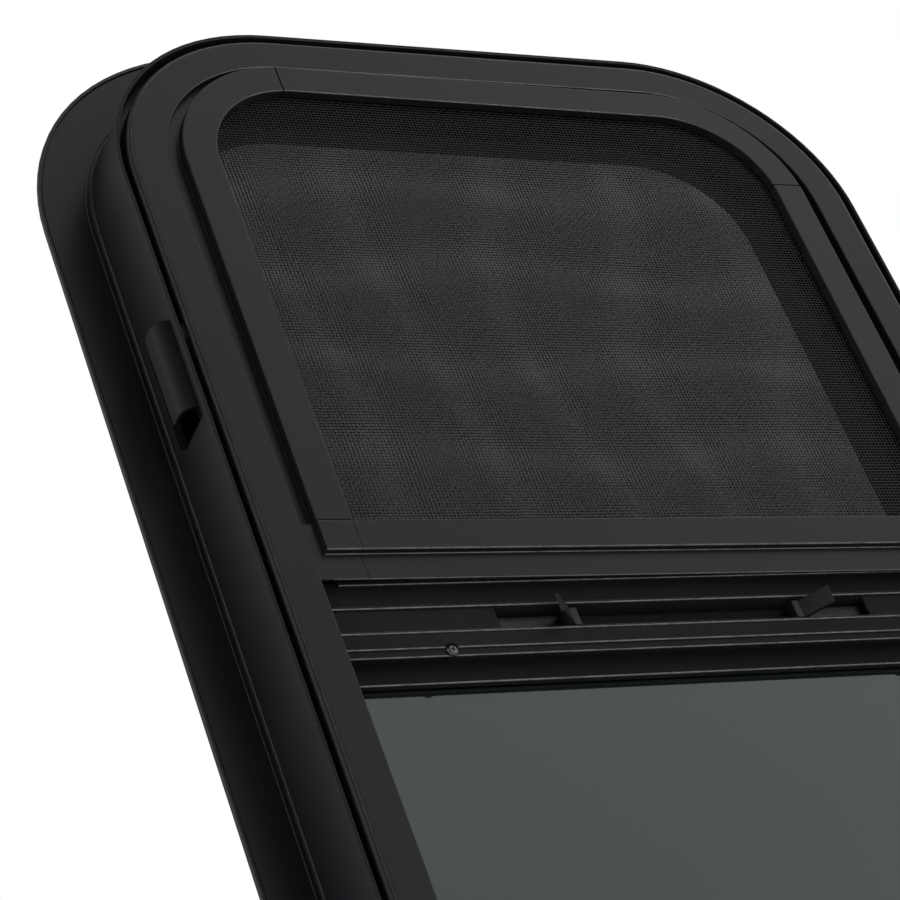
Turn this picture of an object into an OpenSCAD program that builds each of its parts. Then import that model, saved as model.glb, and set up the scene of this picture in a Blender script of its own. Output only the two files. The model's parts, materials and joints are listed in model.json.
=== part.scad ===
// Vertical sliding window of a caravan wall, seen from inside the vehicle.
// X runs to the right, Y runs outwards through the wall, Z runs up.
// The origin lies on the wall-side face of the outer flange, in the middle
// of its bottom strip. Depths (d) count outwards from the face ring,
// heights (y) from the middle of the window.

/* [Frame] */
// Width of the barrel that passes through the wall
barrel_w = 338; // [330:1:348]
// Height of the barrel that passes through the wall
barrel_h = 592; // [570:1:620]
// Radius of the barrel's corners
corner_r = 84; // [78:1:90]
// Depth of the frame, from the face ring to the outer flange
barrel_d = 33.6; // [33:0.1:36]
// Thickness of the barrel wall
barrel_t = 1.6; // [1.2:0.1:2]
// Width of the outer flange beyond the barrel
flange_over = 21.5; // [18:0.5:26]
// Thickness of the outer flange
flange_t = 2; // [1.6:0.1:3]
// Distance from the barrel's outside to the flange's inner edge
flange_in = 20; // [17:0.5:22]
// Distance from the barrel's outside to the face ring's inner edge
face_in = 20.3; // [19:0.1:22]
// Depth of the screw groove round the face ring
groove_d = 9; // [6:0.5:9]

/* [Side tabs] */
// Height of each lanced side tab
tab_h = 41.5; // [30:0.5:50]
// Height of the tab's middle above the middle of the window
tab_y = 119.3; // [100:0.1:140]
// Distance that the tab's free edge stands off the barrel
tab_off = 5.5; // [3:0.5:7]
// Distance that the punched hole reaches below the tab
tab_gap = 4.5; // [4:0.5:12]

/* [Glass] */
// Thickness of the fixed pane
fixed_t = 4; // [3:0.5:4]
// Thickness of the sash pane
sash_t = 3.2; // [3:0.1:3.6]

/* [Sash rail] */
// Half the length of the slot for the finger tabs
slot_x = 79.9; // [75:0.5:100]
// Distance from the middle to the inner side of each finger tab
grip_x = 46.5; // [42:0.5:55]
// Thickness of each finger tab
grip_t = 1.6; // [1.2:0.1:2]

/* [Insect screen] */
// Distance from the barrel's outside to the screen frame's outer edge
screen_out = 26.5; // [26:0.1:28]
// Width of the screen frame's bars
screen_bar = 13.9; // [12:0.1:15]
// How far the screen frame stands proud of the face ring
screen_proud = 1.6; // [1.2:0.1:2.4]
// Angle by which the screen hangs askew in the frame
screen_skew = 0.49; // [0:0.01:0.6]

/* [Hidden] */
$fn = 96;
z_mid = barrel_h / 2 + flange_over / 2;
frame_col = [0.16, 0.16, 0.17];
dark_col = [0.05, 0.05, 0.055];
glass_col = [0.45, 0.52, 0.5, 0.5];
// depth of the rear faces
rear = barrel_d;
// how far the barrel's wall is set back behind the bead at its inner edge
bead = 0.35;
// how far the barrel's inner edge lies behind the face ring, and where the ring begins beside the groove
rim_d = 0.9;
ring_u = 4.2;
// the pane and rail depths
fix_front = 22.8;
sash_glass_front = 13.3;
rail_len = barrel_w / 2 - 11;
// the face ring's plate, and the depth of the lip that turns inwards at its inner edge
plate_t = 1.1;
lip_d = 3.1;
// the screen's thin flange: on the arch it lies behind the lip, on the bottom bar in front of the rail
flange_reach = 9.5;
arch_flange_f = lip_d + 0.15;
arch_flange_b = lip_d + 1.15;
flange_f = plate_t + 0.05;
flange_b = plate_t + 1.05;
corner_reach = 5.1;
screen_top = barrel_h / 2 - screen_out;
screen_w = barrel_w - 2 * screen_out;
screen_r = corner_r - screen_out;
// heights on the unrotated screen, from the middle of the window
screen_open_y = 296 - 260.6;
screen_step_y = 296 - 274;
screen_low_y = 296 - 285.1;

// a list of points with each corner rounded: p is [x, y, radius]
function unit(v) = v / norm(v);
function corner_pts(a, b, c, r, n) =
  r <= 0 ? [b] :
  let (u1 = unit(a - b), u2 = unit(c - b),
       half = acos(max(-1, min(1, u1 * u2))) / 2,
       t = r / tan(half), p1 = b + u1 * t, p2 = b + u2 * t,
       m = b + unit(u1 + u2) * (r / sin(half)),
       a1 = atan2(p1[1] - m[1], p1[0] - m[0]),
       a2r = atan2(p2[1] - m[1], p2[0] - m[0]),
       da = a2r - a1 > 180 ? a2r - a1 - 360 : a2r - a1 < -180 ? a2r - a1 + 360 : a2r - a1)
  [for (i = [0 : n]) m + r * [cos(a1 + da * i / n), sin(a1 + da * i / n)]];
function rounded(pts, n = 3) =
  [for (i = [0 : len(pts) - 1])
    let (k = len(pts), a = pts[(i + k - 1) % k], b = pts[i], c = pts[(i + 1) % k])
    each corner_pts([a[0], a[1]], [b[0], b[1]], [c[0], c[1]], len(b) > 2 ? b[2] : 0, n)];

// from window coordinates (x right, y up, z depth) to the part's frame
module wall() { translate([0, -barrel_d, z_mid]) mirror([0, 1, -1]) children(); }

// profile children are drawn with x = distance in from the outline, y = depth
module quarter(w, h, r, k) {
  sx = (k == 0 || k == 3) ? 1 : -1;
  sy = (k < 2) ? 1 : -1;
  translate([sx * (w / 2 - r), sy * (h / 2 - r), 0]) rotate([0, 0, 90 * k])
    rotate_extrude(angle = 90) translate([r, 0]) mirror([1, 0]) children();
}
module side_right(w, y1, y2) { translate([w / 2, y2, 0]) rotate([90, 0, 0]) linear_extrude(y2 - y1) mirror([1, 0]) children(); }
module side_left(w, y1, y2) { translate([-w / 2, y2, 0]) rotate([90, 0, 0]) linear_extrude(y2 - y1) children(); }
module side_top(h, x1, x2) { translate([x1, h / 2, 0]) rotate([90, 0, 90]) linear_extrude(x2 - x1) mirror([1, 0]) children(); }
module side_bottom(h, x1, x2) { translate([x1, -h / 2, 0]) rotate([90, 0, 90]) linear_extrude(x2 - x1) children(); }
module ring(w, h, r) {
  for (k = [0 : 3]) quarter(w, h, r, k) children();
  side_right(w, r - h / 2, h / 2 - r) children();
  side_left(w, r - h / 2, h / 2 - r) children();
  side_top(h, r - w / 2, w / 2 - r) children();
  side_bottom(h, r - w / 2, w / 2 - r) children();
}
// upper part of a ring, with open ends at the height y0
module arch(w, h, r, y0) {
  for (k = [0 : 1]) quarter(w, h, r, k) children();
  side_right(w, y0, h / 2 - r) children();
  side_left(w, y0, h / 2 - r) children();
  side_top(h, r - w / 2, w / 2 - r) children();
}
// lower part of a ring, with open ends at the height y1
module trough(w, h, r, y1) {
  for (k = [2 : 3]) quarter(w, h, r, k) children();
  side_right(w, r - h / 2, y1) children();
  side_left(w, r - h / 2, y1) children();
  side_bottom(h, r - w / 2, w / 2 - r) children();
}
// a bar along x whose section is drawn with x = height, y = depth
module bar_x(x1, x2) { translate([x1, 0, 0]) rotate([90, 0, 90]) linear_extrude(x2 - x1) children(); }
module skewed() { translate([1.7, 4.26 + barrel_h / 2, 0]) rotate([0, 0, -screen_skew]) translate([0, -barrel_h / 2, 0]) children(); }

module exterior_flange() { color(frame_col) wall()
  ring(barrel_w, barrel_h, corner_r) polygon(concat(rounded([
    [flange_in, rear], [flange_in, rear + flange_t, 0.6], [-flange_over, rear + flange_t, 1.2],
    [-flange_over, rear - 0.7, 0.35], [-flange_over + 1.4, rear - 0.7, 0.3], [-flange_over + 1.4, rear + 0.5],
    [-flange_over + 1.9, rear + 0.5], [-flange_over + 1.9, rear, 0.15],
    [-2.7, rear], [-2.7, rear - 0.6, 0.25], [-1.5, rear - 0.6, 0.25], [-1.5, rear]]),
    // a small concave bead where the flange meets the barrel
    [for (i = [0 : 4]) [bead - 1.1 * (1 - sin(22.5 * i)), rear - 1.1 * (1 - cos(22.5 * i))]], [[bead, rear]]));
}

// a punched hole behind each tab, with its far edge turned outwards
module tab_hole() { translate([barrel_w / 2 - 3, tab_y - tab_h / 2 - tab_gap, 5]) cube([6, tab_h + tab_gap, 19]); }
module tab_lip() { translate([0, tab_y + tab_h / 2 - 1, 0]) rotate([90, 0, 0]) linear_extrude(tab_h + tab_gap - 2)
  polygon([[barrel_w / 2 - barrel_t, 24], [barrel_w / 2 + 2, 24], [barrel_w / 2 + 2, 25.1], [barrel_w / 2 - barrel_t, 25.1]]); }
module barrel() { color(frame_col) wall() {
  difference() {
    ring(barrel_w, barrel_h, corner_r) polygon(rounded([
      [0, rim_d, 0.5], [barrel_t, rim_d, 0.5], [barrel_t, rear], [bead, rear], [bead, 3.8], [0, 3.4]]));
    tab_hole();
    mirror([1, 0, 0]) tab_hole();
  }
  tab_lip();
  mirror([1, 0, 0]) tab_lip();
} }

module face_ring() { color(frame_col) wall()
  ring(barrel_w, barrel_h, corner_r) polygon(rounded([
    [barrel_t, groove_d], [ring_u, groove_d], [ring_u, 0, 2.6], [face_in, 0, 0.5], [face_in, lip_d], [face_in - 1, lip_d],
    [face_in - 1, plate_t], [ring_u + 1.4, plate_t, 1], [ring_u + 1.4, groove_d + 0.8], [barrel_t, groove_d + 0.8]], 7));
}

// section of a tab in x (outwards) and depth, standing off towards the flange
module side_tab() {
  translate([0, tab_y + tab_h / 2, 0]) rotate([90, 0, 0]) linear_extrude(tab_h) polygon(rounded([
    [-bead, 5], [tab_off + 0.3, 6.5, 6], [tab_off + 0.3, 16.4, 0.4], [tab_off - 0.9, 16.6, 0.4],
    [tab_off - 0.9, 7.7, 4.8], [-barrel_t + 0.3, 6.2], [-barrel_t + 0.3, 5]], 8));
}
module side_tab_left() { color(frame_col) wall() mirror([1, 0, 0]) translate([barrel_w / 2, 0, 0]) side_tab(); }
module side_tab_right() { color(frame_col) wall() translate([barrel_w / 2, 0, 0]) side_tab(); }

module glass_stop() { color(frame_col) wall()
  trough(barrel_w, barrel_h, corner_r, -16) polygon([
    [barrel_t, fix_front - 3.1], [18, fix_front - 3.1], [18, fix_front], [16.6, fix_front], [16.6, fix_front - 1.7], [barrel_t, fix_front - 1.7]]);
}

module fixed_glass() { color(glass_col) wall() {
  w = barrel_w - 8; h = barrel_h - 8; r = corner_r - 4;
  trough(w, h, r, -7) translate([0, fix_front]) square([r, fixed_t]);
  translate([-w / 2 + r, -h / 2 + r, fix_front]) cube([w - 2 * r, h / 2 - r - 7, fixed_t]);
} }

module fixed_glass_seal() { color(dark_col) wall()
  trough(barrel_w, barrel_h, corner_r, -16) translate([6, fix_front + fixed_t]) square([12.5, rear - fix_front - fixed_t]);
}

module fixed_rail() { color(frame_col) wall()
  bar_x(-barrel_w / 2 + 2.1, barrel_w / 2 - 2.1) polygon(rounded([
    [0, 20, 0.4], [0, 29.4, 0.4], [-13, 29.4], [-13, 28.2], [-1.4, 28.2], [-1.4, 21.3],
    [-14.2, 21.3], [-14.2, fix_front - 0.2], [-15.6, fix_front - 0.2], [-15.6, 20, 0.5]]));
}

module sash_frame() { color(frame_col) wall()
  arch(barrel_w - 14, barrel_h - 14, corner_r - 7, 27) polygon([
    [0, 9.9], [14.5, 9.9], [14.5, 11.2], [1.4, 11.2], [1.4, 17.6], [16, 17.6], [16, 19], [0, 19]]);
}

module sash_glass() { color(glass_col) wall() {
  w = barrel_w - 30; h = barrel_h - 30; r = corner_r - 15;
  arch(w, h, r, 12) translate([0, sash_glass_front]) square([r, sash_t]);
  translate([-w / 2 + r, 12, sash_glass_front]) cube([w - 2 * r, h / 2 - r - 12, sash_t]);
} }

module sash_glass_seal() { color(dark_col) wall() {
  w = barrel_w - 30; h = barrel_h - 30; r = corner_r - 15;
  arch(w, h, r, 27) translate([0, 11.2]) square([5.5, sash_glass_front - 11.2]);
  arch(w, h, r, 27) translate([0, sash_glass_front + sash_t]) square([7, 17.6 - sash_glass_front - sash_t]);
} }

module sash_rail() { color(frame_col) wall() difference() {
  bar_x(-rail_len, rail_len) {
    // shelf above the slot, on the upper front wall
    polygon(rounded([[18.9, 8, 0.5], [20.7, 8, 0.6], [20.7, 10.3], [18.9, 10.3]]));
    translate([9.6, 9.3]) square([11.1, 1.1]);
    // lip that holds the pane's lower edge
    translate([19.5, 10]) square([1.2, 3.2]);
    // channel ceiling with its nose
    polygon(rounded([[9, 8.7, 0.45], [10.3, 8.7, 0.35], [10.3, 18], [9, 18]]));
    // slotted web
    translate([-0.8, 10]) square([10.2, 1]);
    // channel floor with its lip
    polygon(rounded([[-1.3, 9.4, 0.45], [-0.2, 9.4, 0.3], [-0.2, 18], [-1.3, 18]]));
    // lower face and the small face below it
    polygon(rounded([[-7.6, 10, 0.45], [-0.9, 10], [-0.9, 12], [-10.6, 12, 0.3], [-10.6, 10.9, 0.4], [-7.6, 10.9]]));
    // rear wall
    translate([-1.3, 17]) square([28.3, 1.4]);
  }
  // slot for the finger tabs
  translate([-slot_x, -0.2, 9.9]) cube([2 * slot_x, 9.2, 1.3]);
  // the shelf stops short of the frame at both ends
  for (s = [-1, 1]) translate([s > 0 ? 138 : -rail_len - 1, 18, 5]) cube([rail_len + 1 - 138, 4, 4.3]);
  // seats of the two screws
  for (s = [-1, 1]) translate([s * 102.3, -8.6, 9]) cylinder(r = 2.9, h = 1.95);
  for (s = [-1, 1]) translate([s * 102.3, -8.6, 9]) cylinder(r = 1.5, h = 6);
} }

module meeting_weatherstrip() { color(dark_col) wall() translate([-rail_len, -6.1, 12.1]) cube([2 * rail_len, 4, 7.8]); }

module latch_keeper() { difference() {
  translate([barrel_w / 2 - barrel_t - 6, -6, 11.8]) cube([6, 20, 6.6]);
  translate([barrel_w / 2 - barrel_t - 7, -0.4, 12.8]) cube([5, 8.8, 4.4]);
} }
module latch_keeper_left() { color("dimgray") wall() mirror([1, 0, 0]) latch_keeper(); }
module latch_keeper_right() { color("dimgray") wall() latch_keeper(); }

// finger tab: a block that passes through the slot and a fin that leans outwards
module latch_grip() {
  translate([0, 7.6, 0]) rotate([90, 0, 0]) linear_extrude(7.4) polygon(rounded([
    [grip_x, 9.6, 0.5], [grip_x + 2.9, 9.6], [grip_x + 11.8, 0.8, 0.3], [grip_x + 12.7, 1.6, 0.3],
    [grip_x + 5.6, 9.6], [grip_x + 5.6, 13.5], [grip_x, 13.5]]));
}
module latch_grip_left() { color(frame_col) wall() mirror([1, 0, 0]) latch_grip(); }
module latch_grip_right() { color(frame_col) wall() latch_grip(); }

module latch_bolt() { translate([grip_x, 1, 13.5]) cube([164 - grip_x, 6, 3]); }
module latch_bolt_left() { color("gray") wall() mirror([1, 0, 0]) latch_bolt(); }
module latch_bolt_right() { color("gray") wall() latch_bolt(); }

// pan head screw with a cross recess
module rail_screw() { translate([102.3, -8.6, 0]) difference() {
  union() {
    translate([0, 0, 10.9]) cylinder(r = 1.5, h = 4);
    rotate_extrude() polygon(rounded([[0, 9.5], [1.5, 9.6, 0.8], [2.2, 10.3, 0.3], [2.2, 10.95], [0, 10.95]]));
  }
  for (a = [20, 110]) rotate([0, 0, a]) translate([-1.2, -0.25, 9]) cube([2.4, 0.5, 1.3]);
} }
module rail_screw_left() { color("silver") wall() mirror([1, 0, 0]) rail_screw(); }
module rail_screw_right() { color("silver") wall() rail_screw(); }

// section of the screen frame: proud bar, spline leg and the thin flange behind the face ring
module screen_section() { polygon(rounded([
  [0, -screen_proud, 0.6], [screen_bar, -screen_proud, 0.5], [screen_bar, 2], [6.2, 2], [6.2, 5],
  [0, 5], [0, arch_flange_b], [-flange_reach, arch_flange_b], [-flange_reach, arch_flange_f], [0, arch_flange_f, 0.4]], 4)); }
module screen_arch() { arch(screen_w, 2 * screen_top, screen_r, screen_open_y) screen_section(); }
module screen_left_leg() { color(frame_col) wall() skewed() intersection() {
  screen_arch();
  translate([-200, 0, -20]) cube([200 - 89.8, 400, 60]);
} }
module screen_top_bar() { color(frame_col) wall() skewed() intersection() {
  screen_arch();
  translate([-89.2, 296 - 78.2, -20]) cube([300, 200, 60]);
} }
module screen_right_leg() { color(frame_col) wall() skewed() intersection() {
  screen_arch();
  translate([0, 0, -20]) cube([300, 296 - 78.8, 60]);
} }
// section of the bottom bar, x = height, y = depth
module screen_bottom_section() { polygon(rounded([
  [screen_open_y - 0.2, -screen_proud, 0.5], [screen_open_y - 0.2, 2], [screen_open_y - 7.6, 2], [screen_open_y - 7.6, 5],
  [screen_step_y, 5], [screen_step_y, flange_b], [screen_low_y, flange_b], [screen_low_y, flange_f, 0.35],
  [screen_step_y, flange_f, 0.4], [screen_step_y, -screen_proud, 0.6]], 4)); }
module screen_bottom_bar() { color(frame_col) wall() skewed()
  bar_x(-screen_w / 2 + screen_bar - 0.1, screen_w / 2 - screen_bar + 0.1) screen_bottom_section(); }
module screen_corner() {
  bar_x(screen_w / 2 - screen_bar + 0.3, screen_w / 2) screen_bottom_section();
  bar_x(screen_w / 2, screen_w / 2 + corner_reach) polygon([
    [screen_open_y - 0.2, flange_f], [screen_open_y - 0.2, flange_b], [screen_low_y, flange_b], [screen_low_y, flange_f]]);
}
module screen_corner_left() { color(frame_col) wall() skewed() mirror([1, 0, 0]) screen_corner(); }
module screen_corner_right() { color(frame_col) wall() skewed() screen_corner(); }

module screen_mesh() { color([0.1, 0.1, 0.1, 0.6]) wall() skewed() {
  w = screen_w - 13; top = screen_top - 6.5; r = screen_r - 6.5; y0 = screen_open_y - 7;
  arch(w, 2 * top, r, y0) translate([0, 2.1]) square([r, 0.6]);
  translate([-w / 2 + r, y0, 2.1]) cube([w - 2 * r, top - r - y0, 0.6]);
} }
module screen_spline() { color(dark_col) wall() skewed() {
  w = screen_w - 13; top = screen_top - 6.5; r = screen_r - 6.5; y0 = screen_open_y - 7;
  arch(w, 2 * top, r, y0) translate([0, 2.8]) square([3, 2.2]);
  translate([-w / 2 + 3, y0, 2.8]) cube([w - 6, 3, 2.2]);
} }

exterior_flange();
barrel();
face_ring();
side_tab_left();
side_tab_right();
glass_stop();
fixed_glass();
fixed_glass_seal();
fixed_rail();
sash_frame();
sash_glass();
sash_glass_seal();
sash_rail();
meeting_weatherstrip();
latch_keeper_left();
latch_keeper_right();
latch_grip_left();
latch_grip_right();
latch_bolt_left();
latch_bolt_right();
rail_screw_left();
rail_screw_right();
screen_left_leg();
screen_top_bar();
screen_right_leg();
screen_corner_left();
screen_corner_right();
screen_bottom_bar();
screen_mesh();
screen_spline();
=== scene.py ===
"""Caravan window: finishes, woven insect mesh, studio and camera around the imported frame."""
import json
import math

import bpy
import numpy as np
from mathutils import Matrix, Vector


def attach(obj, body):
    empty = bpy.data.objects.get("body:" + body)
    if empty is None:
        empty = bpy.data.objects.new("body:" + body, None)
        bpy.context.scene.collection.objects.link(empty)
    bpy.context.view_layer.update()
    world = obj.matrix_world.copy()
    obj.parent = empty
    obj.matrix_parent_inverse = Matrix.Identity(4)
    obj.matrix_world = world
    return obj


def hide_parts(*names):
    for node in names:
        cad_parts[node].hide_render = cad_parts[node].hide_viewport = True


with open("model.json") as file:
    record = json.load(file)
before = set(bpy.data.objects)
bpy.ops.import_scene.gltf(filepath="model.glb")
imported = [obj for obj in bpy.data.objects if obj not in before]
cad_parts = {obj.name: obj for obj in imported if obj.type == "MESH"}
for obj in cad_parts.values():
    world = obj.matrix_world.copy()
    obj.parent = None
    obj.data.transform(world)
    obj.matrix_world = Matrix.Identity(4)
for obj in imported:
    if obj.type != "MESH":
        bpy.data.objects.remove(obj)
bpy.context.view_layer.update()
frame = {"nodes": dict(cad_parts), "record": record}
scene = bpy.context.scene
MM = 0.001

# window coordinates (x right, y up from the middle, z depth from the barrel's inner edge) in mm to the part's frame
Z_MID = 306.75
BARREL_D = 33.6


def wall(p):
    p = np.asarray(p, float)
    return np.stack([p[..., 0], p[..., 2] - BARREL_D, p[..., 1] + Z_MID], -1) * MM


# ---------------------------------------------------------------- materials
class Nodes:
    """Small helper that builds a node tree for one material."""

    def __init__(self, name):
        self.mat = bpy.data.materials.new(name)
        self.mat.use_nodes = True
        self.t = self.mat.node_tree
        self.n = self.t.nodes
        self.bsdf = self.n["Principled BSDF"]
        self.tc = self.n.new("ShaderNodeTexCoord")

    def link(self, a, b):
        self.t.links.new(a, b)

    def mapping(self, scale, rot=(0, 0, 0)):
        m = self.n.new("ShaderNodeMapping")
        m.inputs["Scale"].default_value = scale
        m.inputs["Rotation"].default_value = rot
        self.link(self.tc.outputs["Object"], m.inputs["Vector"])
        return m.outputs["Vector"]

    def noise(self, scale, detail=2.0, rough=0.5, vec=None, distort=0.0):
        x = self.n.new("ShaderNodeTexNoise")
        x.inputs["Scale"].default_value = scale
        x.inputs["Detail"].default_value = detail
        x.inputs["Roughness"].default_value = rough
        x.inputs["Distortion"].default_value = distort
        self.link(vec if vec is not None else self.tc.outputs["Object"], x.inputs["Vector"])
        return x.outputs["Fac"]

    def voronoi(self, scale, vec=None, feature="F1", out="Distance"):
        x = self.n.new("ShaderNodeTexVoronoi")
        x.feature = feature
        x.inputs["Scale"].default_value = scale
        self.link(vec if vec is not None else self.tc.outputs["Object"], x.inputs["Vector"])
        return x.outputs[out]

    def rng(self, v, a, b, c, d):
        x = self.n.new("ShaderNodeMapRange")
        for i, k in enumerate((a, b, c, d)):
            x.inputs[1 + i].default_value = k
        self.link(v, x.inputs[0])
        return x.outputs[0]

    def math(self, op, a, b=None):
        x = self.n.new("ShaderNodeMath")
        x.operation = op
        for i, v in enumerate((a, b)):
            if v is None:
                continue
            if isinstance(v, (int, float)):
                x.inputs[i].default_value = v
            else:
                self.link(v, x.inputs[i])
        return x.outputs[0]

    def mix(self, fac, a, b):
        x = self.n.new("ShaderNodeMix")
        x.data_type = "RGBA"
        for sock, v in ((x.inputs[0], fac), (x.inputs[6], a), (x.inputs[7], b)):
            if isinstance(v, (int, float)):
                sock.default_value = v
            elif isinstance(v, tuple):
                sock.default_value = (*v, 1.0)
            else:
                self.link(v, sock)
        return x.outputs[2]

    def bump(self, height, dist, strength=1.0, normal=None):
        x = self.n.new("ShaderNodeBump")
        x.inputs["Strength"].default_value = strength
        x.inputs["Distance"].default_value = dist
        self.link(height, x.inputs["Height"])
        if normal is not None:
            self.link(normal, x.inputs["Normal"])
        return x.outputs["Normal"]

    def set(self, **kw):
        for k, v in kw.items():
            s = self.bsdf.inputs[k.replace("_", " ")]
            if isinstance(v, (int, float)):
                s.default_value = v
            elif isinstance(v, tuple):
                s.default_value = (*v, 1.0) if len(v) == 3 else v
            else:
                self.link(v, s)
        return self


def powder_coat(name, dark=(0.0078, 0.0085, 0.0104), light=(0.0112, 0.0120, 0.0146), rough=(0.26, 0.36), bump=1.0, spec=0.125, wear=0.15):
    """Black satin powder coat on aluminium: orange peel, fine grain, soft cloudiness, a little settled dust,
    and a thin, rubbed coat on the rounded edges, where the metal shines through."""
    m = Nodes(name)
    cloud = m.noise(14.0, 3.0, 0.55)
    grain = m.noise(3200.0, 2.0, 0.6)
    peel = m.noise(620.0, 3.0, 0.5)
    fleck = m.voronoi(1500.0)
    tone = m.math("ADD", m.math("MULTIPLY", cloud, 0.6), m.math("MULTIPLY", grain, 0.4))
    base = m.mix(m.rng(tone, 0.3, 0.7, 0.0, 1.0), dark, light)
    # rare pale dust grains that settled on the coat
    dust = m.math("MULTIPLY", m.rng(m.voronoi(330.0), 0.0, 0.035, 1.0, 0.0), m.rng(m.noise(45.0, 2.0), 0.52, 0.6, 0.0, 1.0))
    base = m.mix(m.math("MULTIPLY", dust, 0.5), base, (0.10, 0.10, 0.10))
    # every profile has level and upright faces, so a slanting normal is a rounded edge
    geo = m.n.new("ShaderNodeNewGeometry")
    xyz = m.n.new("ShaderNodeSeparateXYZ")
    m.link(geo.outputs["True Normal"], xyz.inputs[0])
    ny = m.math("ABSOLUTE", xyz.outputs[1])
    slant = m.math("MULTIPLY", ny, m.math("SQRT", m.math("SUBTRACT", 1.0, m.math("MULTIPLY", ny, ny))))
    rub = m.math("MULTIPLY", m.rng(slant, 0.12, 0.36, 0.0, 1.0), m.rng(m.noise(160.0, 3.0, 0.6), 0.3, 0.6, 0.55, 1.0))
    # hands and cloths rub the level rails more than the upright ones
    rub = m.math("MULTIPLY", rub, m.rng(m.math("ABSOLUTE", xyz.outputs[0]), 0.08, 0.45, 1.0, 0.06))
    base = m.mix(rub, base, (wear, wear, wear * 1.03))
    m.set(Metallic=m.math("MULTIPLY", rub, 0.85))
    coat_rough = m.rng(m.math("ADD", m.math("MULTIPLY", cloud, 0.5), m.math("MULTIPLY", fleck, 0.5)), 0.2, 0.75, rough[0], rough[1])
    m.set(Base_Color=base, Roughness=m.math("MULTIPLY", coat_rough, m.rng(rub, 0.0, 1.0, 1.0, 0.75)))
    m.set(Specular_IOR_Level=spec)
    n1 = m.bump(peel, 0.000006 * bump)
    n2 = m.bump(grain, 0.0000022 * bump, normal=n1)
    m.set(Normal=n2)
    return m.mat


def rubber(name):
    m = Nodes(name)
    a = m.noise(900.0, 3.0, 0.6)
    b = m.noise(30.0, 2.0, 0.5)
    m.set(Base_Color=m.mix(m.rng(b, 0.3, 0.7, 0.0, 1.0), (0.006, 0.006, 0.006), (0.011, 0.011, 0.0115)),
          Roughness=m.rng(a, 0.3, 0.7, 0.62, 0.8), Specular_IOR_Level=0.4,
          Normal=m.bump(a, 0.00002))
    return m.mat


def pile(name):
    m = Nodes(name)
    v = m.mapping((1500.0, 500.0, 500.0))
    a = m.noise(1.0, 3.0, 0.65, vec=v)
    m.set(Base_Color=m.mix(m.rng(a, 0.3, 0.7, 0.0, 1.0), (0.004, 0.004, 0.004), (0.016, 0.016, 0.017)),
          Roughness=0.95, Specular_IOR_Level=0.2, Normal=m.bump(a, 0.0003))
    return m.mat


def zinc(name, base=(0.62, 0.62, 0.60), rough=(0.22, 0.38)):
    m = Nodes(name)
    a = m.noise(2600.0, 3.0, 0.6)
    b = m.noise(500.0, 2.0, 0.5)
    dark = tuple(c * 0.72 for c in base)
    m.set(Base_Color=m.mix(m.rng(b, 0.35, 0.65, 0.0, 1.0), dark, base), Metallic=1.0,
          Roughness=m.rng(a, 0.3, 0.7, rough[0], rough[1]), Normal=m.bump(a, 0.000006))
    return m.mat


def tinted_glass(name, tint=(0.024, 0.032, 0.029), sheen=(0.90, 1.0, 0.965)):
    """Very dark grey-green toughened glass, with the faint unevenness of its surface."""
    m = Nodes(name)
    wave = m.noise(7.0, 2.0, 0.5)
    film = m.noise(30.0, 4.0, 0.6)
    deep = tuple(c * 0.96 for c in tint)
    m.set(Base_Color=m.mix(m.rng(film, 0.35, 0.65, 0.0, 1.0), deep, tint),
          Roughness=m.rng(film, 0.3, 0.7, 0.010, 0.028), IOR=1.53, Transmission_Weight=1.0,
          Specular_Tint=sheen, Normal=m.bump(wave, 0.00003))
    return m.mat


def yarn(name):
    """PVC-coated glass fibre yarn: dark, with a soft sheen and the twist of its filaments."""
    m = Nodes(name)
    a = m.noise(2400.0, 2.0, 0.6)
    b = m.noise(24.0, 3.0, 0.55)
    base = m.mix(m.rng(b, 0.3, 0.7, 0.0, 1.0), (0.0060, 0.0064, 0.0062), (0.0100, 0.0107, 0.0104))
    lint = m.math("MULTIPLY", m.rng(m.voronoi(240.0), 0.0, 0.03, 1.0, 0.0), m.rng(m.noise(38.0, 2.0), 0.62, 0.66, 0.0, 1.0))
    base = m.mix(lint, base, (0.5, 0.5, 0.5))
    m.set(Base_Color=base, Roughness=m.rng(a, 0.3, 0.7, 0.24, 0.34), Specular_IOR_Level=0.42, Normal=m.bump(a, 0.00001))
    return m.mat


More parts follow.
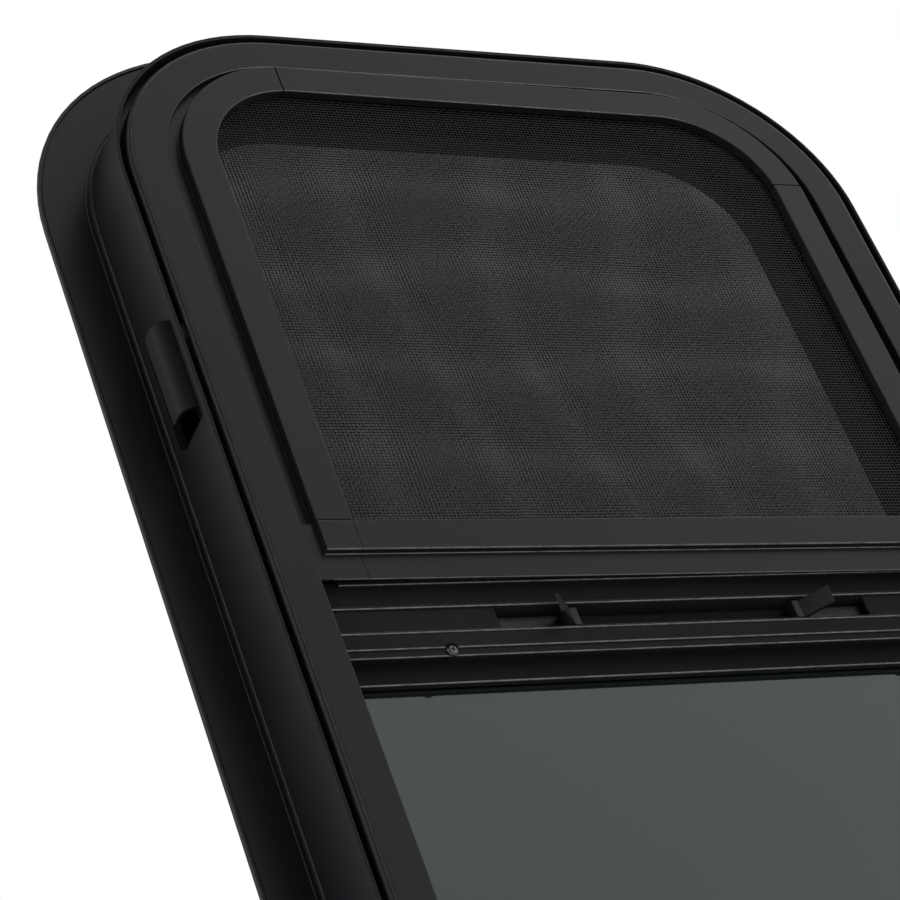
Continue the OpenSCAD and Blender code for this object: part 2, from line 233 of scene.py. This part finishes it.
MAT = {
    "black_frame": powder_coat("black_powder_coat"),
    "screen_frame": powder_coat("screen_powder_coat", dark=(0.0080, 0.0086, 0.0102), light=(0.0114, 0.0122, 0.0142), rough=(0.28, 0.38), spec=0.145),
    "sash_coat": powder_coat("sash_anodised_black", dark=(0.0150, 0.0156, 0.0172), light=(0.0198, 0.0206, 0.0226), rough=(0.24, 0.32), bump=0.5, spec=0.01, wear=0.19),
    # barrel: the frame's black powder coat with a lighter base and weaker specular, painted light on its left-facing
    # outer wall
    "barrel_coat_painted_light": powder_coat("barrel_powder_coat_painted_light", dark=(0.0092, 0.0098, 0.0113), light=(0.0116, 0.0124, 0.0140), rough=(0.34, 0.46), spec=0.04, wear=0.06),
    # side tabs: the barrel's black powder coat with a darker base, painted shade
    "tab_coat_painted_shade": powder_coat("tab_powder_coat_painted_shade", dark=(0.0056, 0.0060, 0.0072), light=(0.0082, 0.0088, 0.0102), rough=(0.5, 0.6), spec=0.05, wear=0.02),
    "seal": rubber("black_rubber"),
    "pile": pile("woven_pile"),
    "latch_metal": zinc("dark_zinc", (0.035, 0.035, 0.038), (0.3, 0.45)),
    "latch_grip": powder_coat("grip_black", dark=(0.008, 0.0083, 0.0090), light=(0.012, 0.0124, 0.0132), rough=(0.34, 0.46), spec=0.25, wear=0.02),
    "screw": zinc("bright_zinc", (0.13, 0.13, 0.127), (0.26, 0.4)),
    "tinted_glass": tinted_glass("tinted_glass"),
    # upper pane: a darker tint, and a reflection tint cut to about half, which is painted shade on the glass's
    # reflection
    "sash_glass": tinted_glass("sash_tinted_glass_painted_dim_reflection", (0.015, 0.020, 0.018), (0.50, 0.55, 0.53)),
    "insect_mesh": yarn("coated_yarn"),
}
SLOT = {s["node"]: s["material_slot"] for s in frame["record"]["subparts"]}
for name, obj in frame["nodes"].items():
    slot = SLOT.get(name, "black_frame")
    key = slot
    if name == "sash_glass":
        key = "sash_glass"
    if slot == "black_frame":
        if name.startswith("screen_"):
            key = "screen_frame"
        elif name in ("sash_rail", "sash_frame", "fixed_rail", "glass_stop"):
            key = "sash_coat"
        elif name.startswith("latch_grip"):
            key = "latch_grip"
        # the barrel gets the lighter copy of the frame's coat, painted light
        elif name == "barrel":
            key = "barrel_coat_painted_light"
        # the side tabs get the darker copy of the coat, painted shade
        elif name.startswith("side_tab"):
            key = "tab_coat_painted_shade"
    obj.data.materials.clear()
    obj.data.materials.append(MAT[key])
    for poly in obj.data.polygons:
        poly.material_index = 0

# ---------------------------------------------------------------- woven insect mesh
SCREEN_OUT, SCREEN_SKEW = 26.5, 0.49
BARREL_W, BARREL_H, CORNER_R = 338.0, 592.0, 84.0
PITCH_X, PITCH_Y = 1.57, 1.43      # spacing of the upright and of the level yarns
YARN_R = 0.178                      # half the yarn's thickness
MESH_D = 2.45                       # depth of the cloth's middle
W = BARREL_W - 2 * SCREEN_OUT - 13
TOP = BARREL_H / 2 - SCREEN_OUT - 6.5
R = CORNER_R - SCREEN_OUT - 6.5
Y0 = (296 - 260.6) - 7


def skew(p):
    """The screen hangs a little askew, turned about the middle of its top edge."""
    a = math.radians(-SCREEN_SKEW)
    x, y = p[..., 0], p[..., 1] - BARREL_H / 2
    out = p.copy()
    out[..., 0] = x * math.cos(a) - y * math.sin(a) + 1.7
    out[..., 1] = x * math.sin(a) + y * math.cos(a) + 4.26 + BARREL_H / 2
    return out


def drift(x, y):
    """Slow wander of the yarns, and of the cloth's depth, as a stretched cloth has."""
    dx = 0.34 * np.sin(y / 41.0 + x / 53.0) + 0.14 * np.sin(x / 27.0 - y / 35.0) + 0.42 * np.sin(x / 88.0 + y / 67.0 + 0.7)
    dy = 0.36 * np.sin(x / 43.0 - y / 49.0) + 0.14 * np.sin(x / 29.0 + y / 25.0) + 0.46 * np.sin(y / 93.0 - x / 71.0 + 1.9)
    dz = 0.07 * np.sin(x / 37.0 + 1.0) * np.sin(y / 29.0)
    return dx, dy, dz


def yarn_tubes(lines, up):
    """Open four-sided tubes along lines of points; up is the other axis of the section."""
    verts, faces, count = [], [], 0
    for p in lines:
        if len(p) < 2:
            continue
        t = np.gradient(p, axis=0)
        t /= np.linalg.norm(t, axis=1)[:, None]
        side = np.cross(t, up)
        side /= np.linalg.norm(side, axis=1)[:, None]
        top = np.cross(side, t)
        ring = np.stack([p + YARN_R * side, p + YARN_R * top, p - YARN_R * side, p - YARN_R * top], 1)
        verts.append(ring.reshape(-1, 3))
        i = np.arange(len(p) - 1)[:, None] * 4 + count
        for k in range(4):
            faces.append(np.concatenate([i + k, i + (k + 1) % 4, i + 4 + (k + 1) % 4, i + 4 + k], 1))
        count += 4 * len(p)
    return np.concatenate(verts), np.concatenate(faces)


def half_width(y):
    """Half the cloth's width at height y, with its rounded upper corners."""
    over = np.clip(y - (TOP - R), 0, R)
    return np.where(y > TOP - R, W / 2 - R + np.sqrt(np.maximum(R * R - over * over, 0)), W / 2)


def top_at(x):
    over = np.clip(np.abs(x) - (W / 2 - R), 0, R)
    return TOP - R + np.sqrt(np.maximum(R * R - over * over, 0))


nx, ny = int(W / PITCH_X), int((TOP - Y0) / PITCH_Y)
xs = (np.arange(nx) - (nx - 1) / 2) * PITCH_X
ys = Y0 + (TOP - Y0 - (ny - 1) * PITCH_Y) / 2 + np.arange(ny) * PITCH_Y
WAVE = 0.125
BANDS = 3
cuts = [0] + [round(ny * (k + 1) / BANDS) for k in range(BANDS)]
for b in range(BANDS):
    lo, hi = cuts[b], cuts[b + 1]
    upright, level = [], []
    for i, x in enumerate(xs):
        j = np.arange(lo, min(hi + 1, ny))
        y = ys[j]
        keep = y <= top_at(x)
        j, y = j[keep], y[keep]
        if len(j) < 2:
            continue
        dx, dy, dz = drift(x, y)
        z = MESH_D + dz + WAVE * np.where((i + j) % 2 == 0, 1, -1)
        upright.append(np.stack([x + dx, y + dy, z], 1))
    for j in range(lo, hi):
        y = ys[j]
        keep = np.abs(xs) <= half_width(y)
        i, x = np.arange(nx)[keep], xs[keep]
        dx, dy, dz = drift(x, y)
        z = MESH_D + dz - WAVE * np.where((i + j) % 2 == 0, 1, -1)
        level.append(np.stack([x + dx, y + dy, z], 1))
    # sections are computed in millimetres, then moved into the part's frame
    parts_v, parts_f, base = [], [], 0
    for lines in (upright, level):
        v, f = yarn_tubes(lines, np.array([0.0, 0.0, 1.0]))
        parts_v.append(v)
        parts_f.append(f + base)
        base += len(v)
    v = wall(skew(np.concatenate(parts_v)))
    f = np.concatenate(parts_f)
    me = bpy.data.meshes.new(f"woven_mesh_{b + 1}")
    me.vertices.add(len(v))
    me.vertices.foreach_set("co", v.astype(np.float32).ravel())
    me.loops.add(len(f) * 4)
    me.loops.foreach_set("vertex_index", f.astype(np.int32).ravel())
    me.polygons.add(len(f))
    me.polygons.foreach_set("loop_start", np.arange(0, len(f) * 4, 4, dtype=np.int32))
    me.polygons.foreach_set("use_smooth", np.ones(len(f), bool))
    me.update(calc_edges=True)
    me.validate()
    ob = bpy.data.objects.new(f"woven_mesh_{b + 1}", me)
    scene.collection.objects.link(ob)
    me.materials.append(MAT["insect_mesh"])
    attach(ob, "root")
    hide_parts("screen_mesh")
    rows = ys[cuts[b]:cuts[b + 1]]
    area = float(np.sum(2 * half_width(rows)) * PITCH_Y) * 1e-6

# ---------------------------------------------------------------- floor, light, camera
FLOOR_Z = -0.42
bpy.ops.mesh.primitive_plane_add(size=9.0, location=(0, 0, FLOOR_Z))
floor = bpy.context.object
floor.name = "studio_floor"
fm = Nodes("pale_floor")
fm.set(Base_Color=fm.mix(fm.rng(fm.noise(3.0, 3.0), 0.3, 0.7, 0.0, 1.0), (0.80, 0.80, 0.795), (0.82, 0.82, 0.815)),
       Roughness=0.75, Specular_IOR_Level=0.3)
floor.data.materials.append(fm.mat)

world = bpy.data.worlds.new("studio")
scene.world = world
world.use_nodes = True
wt = world.node_tree
bg = wt.nodes["Background"]
tc = wt.nodes.new("ShaderNodeTexCoord")
sep = wt.nodes.new("ShaderNodeSeparateXYZ")
wt.links.new(tc.outputs["Generated"], sep.inputs[0])


def wrange(v, a, b, c, d, smooth=True):
    x = wt.nodes.new("ShaderNodeMapRange")
    x.interpolation_type = "SMOOTHSTEP" if smooth else "LINEAR"
    for i, k in enumerate((a, b, c, d)):
        x.inputs[1 + i].default_value = k
    wt.links.new(v, x.inputs[0])
    return x.outputs[0]


def wmath(op, a, b):
    x = wt.nodes.new("ShaderNodeMath")
    x.operation = op
    for i, v in enumerate((a, b)):
        if isinstance(v, (int, float)):
            x.inputs[i].default_value = v
        else:
            wt.links.new(v, x.inputs[i])
    return x.outputs[0]


# a large soft light at the front right, dark on the left and behind; the camera itself sees a white room
RAD = math.pi / 180
azimuth = wmath("ARCTAN2", sep.outputs[0], wmath("MULTIPLY", sep.outputs[1], -1.0))   # 0 faces the viewer's side, + to the right
elev = wmath("ARCSINE", sep.outputs[2], 0.0)
left = wrange(azimuth, -8 * RAD, 32 * RAD, 0.0, 1.0)
fade = wrange(azimuth, 48 * RAD, 125 * RAD, 1.0, 0.12)
low = wrange(elev, 2 * RAD, 20 * RAD, 0.0, 1.0)
high = wrange(elev, 48 * RAD, 72 * RAD, 1.0, 0.3)
val = wmath("MULTIPLY", wmath("MULTIPLY", left, fade), wmath("MULTIPLY", low, high))
# the bright table in front of the window, which the lower edges mirror
table = wmath("MULTIPLY", wmath("MULTIPLY", wrange(azimuth, -20 * RAD, 15 * RAD, 0.0, 1.0), wrange(azimuth, 70 * RAD, 110 * RAD, 1.0, 0.0)),
              wmath("MULTIPLY", wrange(elev, -62 * RAD, -40 * RAD, 0.0, 1.0), wrange(elev, 0.0, 20 * RAD, 1.0, 0.0)))
# a weaker glow from the left, and one behind on the right for the outer side
side = wmath("MULTIPLY", wmath("MULTIPLY", wrange(azimuth, -160 * RAD, -125 * RAD, 0.0, 1.0), wrange(azimuth, -88 * RAD, -52 * RAD, 1.0, 0.0)),
             wmath("MULTIPLY", wrange(elev, -12 * RAD, 8 * RAD, 0.0, 1.0), wrange(elev, 62 * RAD, 82 * RAD, 1.0, 0.4)))
rear = wmath("MULTIPLY", wmath("MULTIPLY", wrange(azimuth, 92 * RAD, 118 * RAD, 0.0, 1.0), wrange(azimuth, 146 * RAD, 172 * RAD, 1.0, 0.0)),
             wmath("MULTIPLY", wrange(elev, -20 * RAD, -4 * RAD, 0.0, 1.0), wrange(elev, 10 * RAD, 26 * RAD, 1.0, 0.0)))
val = wmath("ADD", wmath("ADD", wmath("MULTIPLY", val, 1.33), wmath("MULTIPLY", table, 2.0)),
            wmath("ADD", wmath("ADD", wmath("MULTIPLY", side, 2.5), wmath("MULTIPLY", rear, 0.9)), 0.07))
path = wt.nodes.new("ShaderNodeLightPath")
seen = path.outputs["Is Camera Ray"]
val = wmath("ADD", wmath("MULTIPLY", val, wmath("SUBTRACT", 1.0, seen)), seen)
wt.links.new(val, bg.inputs["Strength"])
bg.inputs["Color"].default_value = (1, 1, 1, 1)


def area(name, loc, target, size, power, shape="RECTANGLE", size_y=None, color=(1, 1, 1)):
    d = bpy.data.lights.new(name, "AREA")
    d.shape = shape
    d.size = size
    if size_y:
        d.size_y = size_y
    d.energy = power
    d.color = color
    o = bpy.data.objects.new(name, d)
    scene.collection.objects.link(o)
    o.location = loc
    o.rotation_euler = (Vector(target) - Vector(loc)).to_track_quat("-Z", "Y").to_euler()
    return o


# soft light from the left, for the barrel's wall and its bead
area("side_left", (-2.2, -0.9, 1.3), (-0.17, 0, 0.35), 1.6, 9.0, size_y=1.6)

cam = bpy.data.cameras.new("camera")
cam.sensor_width = 36.0
cam.lens = 116.84
cam.clip_start, cam.clip_end = 0.05, 50.0
camera = bpy.data.objects.new("camera", cam)
scene.collection.objects.link(camera)
right = Vector((0.8790, -0.3613, -0.3112)).normalized()
fwd = Vector((0.4768, 0.6678, 0.5716)).normalized()
down = fwd.cross(right).normalized()
right = down.cross(fwd).normalized()
m = Matrix((right, -down, -fwd)).transposed().to_4x4()
m.translation = Vector((-0.58386, -0.74140, -0.22555))
camera.matrix_world = m
scene.camera = camera
scene.view_settings.view_transform = "Standard"
scene.view_settings.look = "None"
